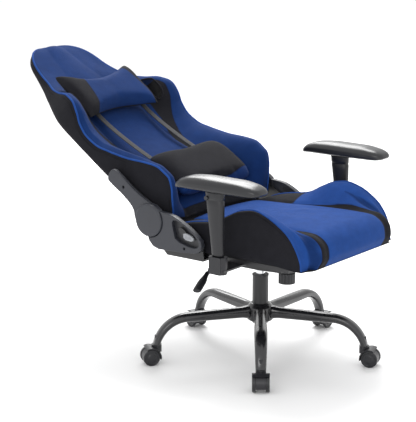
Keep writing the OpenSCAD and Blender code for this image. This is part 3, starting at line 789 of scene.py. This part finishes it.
def inflate(piece, cap, voxel=.006):
    """Swell a closed piece as stuffed cloth, with each point's travel limited to cap."""
    modify(piece, "REMESH", mode="VOXEL", voxel_size=voxel)
    apply_modifiers(piece)
    start = mesh_points(piece.data)
    cloth = modify(piece, "CLOTH")
    cloth.settings.use_pressure = True
    cloth.settings.uniform_pressure_force = 4
    cloth.settings.effector_weights.gravity = 0
    scene = bpy.context.scene
    for step in range(1, 21):
        scene.frame_set(step)
    apply_modifiers(piece)
    scene.frame_set(1)
    end = mesh_points(piece.data)
    travel = end - start
    length = np.linalg.norm(travel, axis=1)[:, None]
    end = start + travel * np.minimum(1, cap / np.maximum(length, 1e-9))
    piece.data.vertices.foreach_set("co", end.astype(np.float32).ravel())
    modify(piece, "SMOOTH", iterations=3)
    modify(piece, "SUBSURF", levels=1, render_levels=1)
    apply_modifiers(piece)


def evaluated_mesh(piece):
    bpy.context.view_layer.update()
    graph = bpy.context.evaluated_depsgraph_get()
    return bpy.data.meshes.new_from_object(piece.evaluated_get(graph))


def modify(piece, kind, **settings):
    """Add a modifier with its settings."""
    modifier = piece.modifiers.new(kind.lower(), kind)
    for key, value in settings.items():
        setattr(modifier, key, value)
    return modifier


def apply_modifiers(piece):
    mesh = evaluated_mesh(piece)
    piece.modifiers.clear()
    piece.data = mesh
    mesh.shade_smooth()


def mesh_points(mesh):
    points = np.zeros(len(mesh.vertices) * 3, np.float32)
    mesh.vertices.foreach_get("co", points)
    return points.reshape(-1, 3).astype(float)


def back_coordinates(points):
    """(x, t, n) of CAD points in the back's own frame."""
    y, z = points[:, 1] - HINGE[1], points[:, 2] - HINGE[2]
    return points[:, 0], y * BACK_COS + z * BACK_SIN, -y * BACK_SIN + z * BACK_COS


def make_head_pillow():
    """A bow-tie pillow: blue middle, black ends, lying across the top of the wings."""
    bed = smooth_through([(0, .000), (.5, .004), (.8, .012), (1, .016)])

    def place(x, t, lift):
        return back_point(x - .020, t, bed(abs(x) / .172) + lift)

    points, faces = pillow_form(
        .172, lambda q: .418 - .028 * abs(q) ** 1.6, lambda q: .550 + .034 * abs(q) ** 1.6,
        lambda q: .034 - .014 * q ** 2, place)
    # Painted shade: the pillow's blue is the darkened copy of the seat blue.
    pillow = add_piece("pillow_head", points, faces, "back_cloth_painted_shade", "back",
                       ("head_pillow",))
    inflate(pillow, .006)
    x, t, n = back_coordinates(mesh_points(pillow.data))
    ends = np.abs(x) - (.128 - .20 * (t - .40) + .5 * (t - .475) ** 2)
    under = np.minimum(bed(np.abs(x + .020) / .172) + .002 - n, .02)
    dye = np.maximum(ends, under)
    # Painted shade along the seam where blue meets black.
    set_values(pillow.data, {"dye": dye, "crease_shade": np.minimum(np.abs(dye), NO_CREASE_SHADE)})


def make_lumbar_pillow():
    """A rounded lumbar pillow: black front, blue gusset round its edge."""
    def low(q):
        return -.002 + .016 * abs(q) ** 8

    def high(q):
        return .182 - .020 * abs(q) ** 8

    def place(x, t, lift):
        return back_point(x, t, .062 - .10 * max(0.0, t - .03) + lift)

    points, faces = pillow_form(.176, low, high, lambda q: .036, place)
    # Painted shade: the pillow's blue is the darkened copy of the seat blue.
    pillow = add_piece("pillow_lumbar", points, faces, "back_cloth_painted_shade", "back",
                       ("lumbar_pillow",))
    inflate(pillow, .008)
    x, t, n = back_coordinates(mesh_points(pillow.data))
    front = n - (.073 - .10 * np.maximum(0, t - .03))
    front = np.minimum(front, .166 - np.abs(x))
    front = np.minimum(front, t - .018 - .2 * np.maximum(0, np.abs(x) - .06))
    # Painted shade along the seam where blue meets black.
    set_values(pillow.data, {"dye": front, "crease_shade": np.minimum(np.abs(front), NO_CREASE_SHADE)})


def ribbon(name, middle, width, thick, body, replaced=(), across=(1, 0, 0)):
    """A flat strap along a middle line, with rounded edges and a run attribute for its ribs."""
    middle = resample(middle, .004)
    tangents, _, _ = path_frames(middle)
    across = np.asarray(across, float)
    normal = np.cross(tangents, across)
    normal /= np.linalg.norm(normal, axis=1)[:, None]
    section = []
    for turn in full_turn(20):
        c, s = math.cos(turn), math.sin(turn)
        section.append((boxed(c, .35) * width / 2, boxed(s, .8) * thick / 2))
    verts = [p + across * a + m * b for p, m in zip(middle, normal) for a, b in section]
    run = np.repeat(np.arange(len(middle)) * .004, len(section))
    faces = ring_faces(len(middle), len(section))
    return add_piece(name, verts, faces, "strap", body, replaced, {"run": run})


def make_straps():
    """Two straps from the lumbar pillow up to the head pillow, lying on the panel."""
    for name, side in SIDES.items():
        x = side * .108
        line = [(.150, .040), (.180, .030), (.21, .0225), (.25, .0135), (.30, .004), (.35, -.004),
                (.40, -.009), (.43, -.010)]
        at = smooth_through([(i / (len(line) - 1), *p) for i, p in enumerate(line)])
        middle = [back_point(x, *at(u)) for u in np.linspace(0, 1, 40)]
        strap = ribbon("strap_" + name, middle, .021, .0028, "back")
        if side < 0:
            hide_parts("pillow_straps")


GUSSET_HALF = .205


def make_gusset():
    """The dark cloth that closes the gap between the seat's rear edge and the foot of the back."""
    low = [(.120, .392), (.138, .404), (.150, .414)]
    high = [back_point(0, -.030, .004)[1:], back_point(0, -.018, -.004)[1:],
            back_point(0, .002, -.012)[1:]]
    line = smooth_through([(i / 5, *p) for i, p in enumerate(low + high)])
    rows, wide = 18, 40
    x = np.linspace(-GUSSET_HALF, GUSSET_HALF, wide)
    points = []
    for u in np.linspace(0, 1, rows):
        y, z = line(u)
        ripple = .0015 * np.sin(x * 90 + 4 * u)
        points += list(np.stack([x, np.full(wide, y), z + ripple], 1))
    faces = [(k, k + 1, k + wide + 1, k + wide)
             for k in range((rows - 1) * wide) if (k + 1) % wide]
    gusset = add_piece("seat_gusset", points, faces, "black_cloth", None, (),
                       {"crease_shade": np.full(len(points), NO_CREASE_SHADE)})
    modify(gusset, "SOLIDIFY", thickness=.0025)
    apply_modifiers(gusset)
    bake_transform(gusset)


# --- Star base, casters and lift --------------------------------------------------------------

LEG_REACH, LEG_LEVEL, LEG_BEND, LEG_TURN = .320, .134, .098, math.radians(78)
LEG_FLAT_END = LEG_REACH - LEG_BEND * math.sin(LEG_TURN) + .001
LEG_ROOT = .036
TRAIL, WHEEL_RADIUS = .020, .025


def leg_station(u):
    """(radius, height, slope) at a share of the leg's run; the level part ends at .58."""
    if u < .58:
        return LEG_ROOT + (LEG_FLAT_END - LEG_ROOT) * u / .58, LEG_LEVEL, 0.0
    a = LEG_TURN * (u - .58) / .42
    return LEG_FLAT_END + LEG_BEND * math.sin(a), LEG_LEVEL - LEG_BEND * (1 - math.cos(a)), a


def turned(points, k):
    """Points of the first leg turned round to leg k."""
    a = 2 * math.pi * (k - 1) / 5
    c, s = math.cos(a), math.sin(a)
    points = np.asarray(points, float)
    return np.stack([points[:, 0] * c - points[:, 1] * s, points[:, 0] * s + points[:, 1] * c,
                     points[:, 2]], 1)


def make_leg(k):
    """One arched leg: a smooth oval tube that ends in a turned socket over the caster."""
    sides = 36
    shares = np.concatenate([np.linspace(-.02, .58, 16)[:-1], np.linspace(.58, 1, 26)])
    verts = []
    for u in shares:
        radius, height, slope = leg_station(max(u, 0.0))
        radius += min(u, 0.0) * .3
        v = max(u, 0.0)
        w = (.030 + .020 * v if v < .45 else .039 - .009 * ((v - .45) / .55) ** 2) / 2
        d = (.033 - .013 * v ** 1.5) / 2
        flare = .0035 * math.exp(-((v / .035) ** 2))
        for turn in full_turn(sides):
            c, s = math.cos(turn), math.sin(turn)
            across = (w + flare) * boxed(c, .8)
            up = (d + flare) * boxed(s, .8)
            verts.append((radius + up * math.sin(slope), across, height + up * math.cos(slope)))
    end = np.array(verts[-sides:])
    middle = end.mean(0)
    for share, drop in ((.96, .0010), (.86, .0016), (.45, .0016)):
        verts += [tuple(middle + (p - middle) * share + np.array((0, 0, -drop))) for p in end]
    rings = len(verts) // sides
    return add_piece(f"leg_{k}", turned(verts, k), ring_faces(rings, sides), "gloss", "base",
                     (f"base_leg_{k}",))


def make_hub():
    profile = rounded_profile([(.024, .108), (.036, .108), (.039, .111), (.039, .149), (.030, .160),
                               (.0245, .161), (.0245, .120)], .0022)
    points, faces = lathe(profile, 72, (0, 0, 0), (0, 0, 1))
    add_piece("hub", points, faces, "gloss", "base", ("base_hub",))


def make_wheels(k):
    """Twin wheels with a dished face, a raised ring and a soft tread, on one axle."""
    centre = (LEG_REACH + TRAIL, 0, WHEEL_RADIUS)
    inner, outer = .0142, .0248
    parts = []
    for side in SIDES.values():
        profile = rounded_profile([
            (.0005, inner), (.0235, inner), (.0250, inner + .0018), (.0250, outer - .0030),
            (.0238, outer - .0006), (.0205, outer), (.0188, outer - .0022), (.0120, outer - .0016),
            (.0095, outer + .0001), (.0005, outer)], .0007)
        parts.append(lathe(profile, 56, centre, (0, side, 0)))
    parts.append(lathe([(.004, -.0145), (.004, .0145)], 24, centre, (0, 1, 0)))
    verts, faces = join_parts(parts)
    add_piece(f"wheels_round_{k}", turned(verts, k), faces, "wheel", f"wheels_{k}",
              (f"caster_wheels_{k}",))


def make_lever():
    """The lift lever: a bent rod and a flattened ribbed grip."""
    line = smooth_through([
        (0, -.042, .060, .298), (.45, -.135, .060, .298), (.58, -.152, .0597, .2965),
        (.72, -.172, .0563, .2895), (1, -.206, .0505, .2765)])
    tube("lever_bar", [line(u) for u in np.linspace(0, 1, 40)], .004, "satin", "lift_handle",
         16, replaced=("lever_rod",))
    start, end = np.array((-.186, .0538, .2850)), np.array((-.2600, .0397, .2450))
    middle = np.array([start + (end - start) * u for u in np.linspace(0, 1, 48)])
    along = (end - start) / np.linalg.norm(end - start)
    flat = np.array((0, 1.0, 0)) - along * along[1]
    flat /= np.linalg.norm(flat)
    up = np.cross(along, flat)
    verts = []
    for i, p in enumerate(middle):
        u = i / 47
        cap = math.sqrt(max(.02, 1 - max(0, (u - .93) / .075) ** 2)) * math.sqrt(
            max(.05, 1 - max(0, (.06 - u) / .062) ** 2))
        rib = .0006 * math.sin(u * 95) if .35 < u < .9 else 0.0
        wide = (.0068 + .0066 * smoothstep(u, .1, .55)) * cap + rib
        tall = .0066 * cap + rib
        for turn in full_turn(28):
            verts.append(p + flat * wide * math.cos(turn) + up * tall * math.sin(turn))
    add_piece("lever_handle", verts, ring_faces(48, 28), "column", "lift_handle",
              ("lever_grip",))


# --- Armrests ---------------------------------------------------------------------------------

ARM_REACH = .315
pad_top = smooth_through([(-.234, .578), (-.226, .589), (-.200, .5985), (-.150, .6045),
                          (-.060, .6050), (0, .6010), (.032, .5930), (.050, .5800), (.056, .570)])
pad_low = smooth_through([(-.234, .5765), (-.226, .5705), (-.200, .5665), (-.100, .5655),
                          (.020, .5650), (.048, .5635), (.056, .568)])
pad_half = smooth_through([
    (-.234, .012), (-.229, .024), (-.218, .033), (-.190, .040), (-.130, .0435), (-.06, .0435),
    (0, .0405), (.030, .036), (.046, .030), (.054, .020), (.056, .010)])


def make_arm_pad(name, side):
    """A crowned soft pad, tapered at both ends, with a parting groove low on its sides."""
    x_middle = side * ARM_REACH
    verts, count = [], 44
    for u in np.linspace(0, 1, 64):
        y = -.089 - .145 * math.cos(math.pi * u)
        top, low, half = float(pad_top(y)), float(pad_low(y)), float(pad_half(y))
        split = low + .36 * (top - low)
        for turn in full_turn(count):
            c, s = math.cos(turn), math.sin(turn)
            x = half * boxed(c, .62)
            z = split + ((top - split) * abs(s) ** .80 if s > 0 else -(split - low) * abs(s) ** .75)
            pinch = 1 - .022 * math.exp(-((z - split) / .0016) ** 2)
            verts.append((x_middle + x * pinch, y, z))
    add_piece("pad_" + name, verts, ring_faces(64, count), "pad", "arm_" + name,
              ("arm_pad_" + name,))


def make_arm_column(name, side):
    """The tapered oval column, with its collar line, its button's recess ring and a foot lip."""
    place = np.array((side * ARM_REACH, -.080, 0))
    levels = [.3835, .3838, .386, *np.linspace(.39, .536, 12),
              .5385, .540, .5415, .543, .550, .558, .5655]
    verts, count = [], 56
    for z in levels:
        u = (z - .383) / .183
        front, rear, thick = -.018 - .001 * u, .018 + .024 * u, .024 + .006 * u
        inset = .0009 if .5384 < z < .5416 else 0.0
        inset += .0006 if z < .3836 else 0.0
        middle = .5 * (front + rear)
        long, wide = .5 * (rear - front) - inset, .5 * thick - inset
        for turn in full_turn(count):
            c, s = math.cos(turn), math.sin(turn)
            verts.append(place + (wide * boxed(c, .75),
                                  middle + long * boxed(s, .85), z))
    add_piece("column_" + name, verts, ring_faces(len(levels), count), "column", "arm_" + name,
              ("arm_column_" + name,))


# --- Recliner covers --------------------------------------------------------------------------

HINGE_SPOT = (float(HINGE[1]), float(HINGE[2]))


def softened(corners, rounds=3):
    """A closed outline with its corners cut away again and again until it's smooth."""
    points = np.array(corners, float)
    for _ in range(rounds):
        after = np.roll(points, -1, 0)
        points = np.stack([.75 * points + .25 * after, .25 * points + .75 * after], 1).reshape(-1, 2)
    return [tuple(p) for p in points]


def arc_outline(centre, radius, first, last, count):
    turns = np.radians(np.linspace(first, last, count))
    return [(centre[0] + radius * math.cos(a), centre[1] + radius * math.sin(a)) for a in turns]


def cut_plate(outlines, low, high, edge):
    """Points (u, v, height) and faces of a plate with round edges; later outlines are holes."""
    curve = bpy.data.curves.new("cut_plate", "CURVE")
    curve.dimensions = "2D"
    curve.fill_mode = "BOTH"
    curve.extrude = (high - low) / 2 - edge
    curve.bevel_depth = edge
    curve.bevel_resolution = 3
    curve.offset = -edge
    for outline in outlines:
        spline = curve.splines.new("POLY")
        spline.points.add(len(outline) - 1)
        spline.points.foreach_set("co", [v for u, w in outline for v in (u, w, 0.0, 1.0)])
        spline.use_cyclic_u = True
    holder = add_object("cut_plate", curve)
    mesh = evaluated_mesh(holder)
    points = mesh_points(mesh) + (0, 0, (low + high) / 2)
    faces = [tuple(face.vertices) for face in mesh.polygons]
    bpy.data.objects.remove(holder)
    bpy.data.curves.remove(curve)
    bpy.data.meshes.remove(mesh)
    return points, faces


def join_parts(parts):
    points, faces = [], []
    for found_points, found_faces in parts:
        faces += [tuple(i + sum(map(len, points)) for i in face) for face in found_faces]
        points.append(np.asarray(found_points))
    return np.concatenate(points), faces


def add_cover(name, parts, side, leaning, material, body, replaced):
    """A piece from plates given as (y or t, z or n, distance from the middle plane)."""
    points, faces = join_parts(parts)
    across = side * points[:, 2]
    if leaning:
        placed = back_point(across, points[:, 0], points[:, 1])
    else:
        placed = np.stack([across, points[:, 0], points[:, 1]], 1)
    cover = add_piece(name, placed, faces if side > 0 else [f[::-1] for f in faces], material, body,
                      replaced)
    modify(cover, "EDGE_SPLIT", split_angle=HARD_ANGLE)
    apply_modifiers(cover)


def make_recliner(name, side):
    """The seat's cover with its hand recess, and the back's slim cover with its round cap."""
    seat_line = (softened([
        (.198, .384), (.172, .357), (.115, .3585), (.036, .3625), (.006, .370), (.000, .398),
        (.022, .419), (.052, .438), (.088, .457), (.112, .465), (.1526, .4690)], 1)[:-2]
        + arc_outline(HINGE_SPOT, .0498, 142, 275, 40))
    recess = softened([(.110, .449), (.090, .4515), (.060, .438), (.030, .418), (.012, .402),
                       (.012, .384), (.036, .378), (.096, .393), (.102, .416)], 1)
    screw = arc_outline((.064, .3730), .0036, 0, 345, 24)
    add_cover("recliner_shell_" + name, [
        cut_plate([seat_line, recess, screw], .268, .285, .0022)],
        side, False, "cover", "seat", ("recliner_cover_" + name,))
    add_cover("recess_floor_" + name, [
        cut_plate([softened([(.116, .455), (.064, .446), (.014, .414), (.006, .380), (.060, .366),
                             (.112, .385)], 1)], .2685, .2715, .0008)],
        side, False, "knob", "seat", ())
    arm_line = softened([
        (-.02, -.036), (.02, -.046), (.045, -.036), (.062, -.018), (.100, -.012), (.165, -.0175),
        (.188, -.0175), (.194, .006), (.190, .025), (.168, .028), (.110, .0275), (.075, .030),
        (.045, .036), (.01, .044), (-.02, .036)], 3)
    hole = arc_outline((.129, .007), .0042, 0, 345, 24)
    cap = rounded_profile([(.0010, .269), (.0489, .269), (.0489, .2832), (.0474, .2880),
                           (.0440, .2894), (.0010, .2900)], .0022)
    turns = full_turn(72)
    cap_points = [(r * math.cos(a), r * math.sin(a), h) for r, h in cap for a in turns]
    add_cover("back_arm_shell_" + name, [
        cut_plate([arm_line], .269, .2725, .0010),
        cut_plate([arm_line, hole], .2720, .2812, .0028),
        (cap_points, ring_faces(len(cap), 72))],
        side, True, "cover", "back", ("back_arm_cover_" + name,))
    bar_line = softened([(-.030, -.026), (.03, -.034), (.08, -.008), (.18, -.013), (.184, .018),
                         (.10, .022), (.03, .032), (-.030, .026)], 2)
    foot_line = softened([(.112, -.010), (.168, -.010), (.168, .018), (.112, .018)], 2)
    add_cover("back_bar_" + name, [
        cut_plate([bar_line], .256, .2695, .0012), cut_plate([foot_line], .222, .258, .0020)],
        side, True, "satin", "back", ("back_plate_" + name,))


def make_inner_frame():
    """The tube frame hidden in the back, and the rod that ties it to the side bars."""
    corners = [(.140, .19), (.140, .44), (.125, .54), (.06, .58), (-.06, .58), (-.125, .54),
               (-.140, .44), (-.140, .19), (-.08, .16), (.08, .16)]
    loop = [back_point(x, t, -.035 - .02 * max(0.0, t - .2)) for x, t in softened(corners, 3)]
    tube("inner_frame", loop, .0055, "satin", "back", 12, closed=True,
         replaced=("back_frame",))
    rod = [back_point(x, .140, -.012) for x in np.linspace(-.257, .257, 24)]
    tube("inner_rod", rod, .007, "satin", "back", 12)


def make_recline_handle():
    """The short pull lever in the right-hand recess: a dark arm with a pale ribbed tip."""
    body = "recline_handle"
    arm = softened([(.088, .432), (.087, .418), (.062, .400), (.052, .402), (.054, .414),
                    (.072, .431)], 2)
    add_cover("recline_arm", [cut_plate([arm], .2755, .2795, .0008)], -1, False, "satin", body,
              ("recline_lever",))
    tip = softened([(.0700, .4210), (.0330, .4105), (.0335, .3960), (.0690, .3985)], 1)
    ribs = [cut_plate([[(y, .4010), (y + .002, .4010), (y + .002, .4105), (y, .4105)]],
                      .2800, .2824, .0004) for y in (.041, .046, .051, .056, .061)]
    add_cover("recline_tip", [cut_plate([tip], .2752, .2816, .0014)] + ribs, -1, False, "grey",
              body, ())


# --- CAD nodes that stay ----------------------------------------------------------------------

NODE_MATERIALS = {
    "satin": ["lift_column", "tilt_housing", "lever_pivot", "swing_plate", "seat_pan",
              "recliner_plate_right", "recliner_plate_left", "arm_bracket_right",
              "arm_bracket_left"],
    "chrome": ["lift_rod", "tilt_pin", "hinge_shaft"],
    "steel": ["tilt_spring", "tension_bolt", "seat_bolts"],
    "knob": ["tension_knob", "lift_bush", "arm_button_right", "arm_button_left"],
    "column": ["arm_sleeve_right", "arm_sleeve_left"],
    "hood": [f"caster_hood_{k}" for k in range(1, 6)],
}
SOFT_EDGES = {"hood": .0010, "column": .0014, "knob": .0009, "satin": .0007}


def finish_nodes():
    """Give each CAD node that stays its material, and round the edges of those whose material has a
    soft edge width.
    """
    for key, names in NODE_MATERIALS.items():
        for name in names:
            node = frame["nodes"][name]
            for slot in node.material_slots:
                slot.material = MATERIALS[key]
            if key in SOFT_EDGES:
                modify(node, "BEVEL", width=SOFT_EDGES[key], segments=2, limit_method="ANGLE",
                       angle_limit=HARD_ANGLE, harden_normals=True)


make_camera()
make_studio()
make_back()
make_seat()
make_head_pillow()
make_lumbar_pillow()
make_straps()
make_gusset()
make_hub()
for number in range(1, 6):
    make_leg(number)
    make_wheels(number)
make_lever()
for side_name, side_sign in SIDES.items():
    make_arm_pad(side_name, side_sign)
    make_arm_column(side_name, side_sign)
    make_recliner(side_name, side_sign)
make_recline_handle()
make_inner_frame()
finish_nodes()
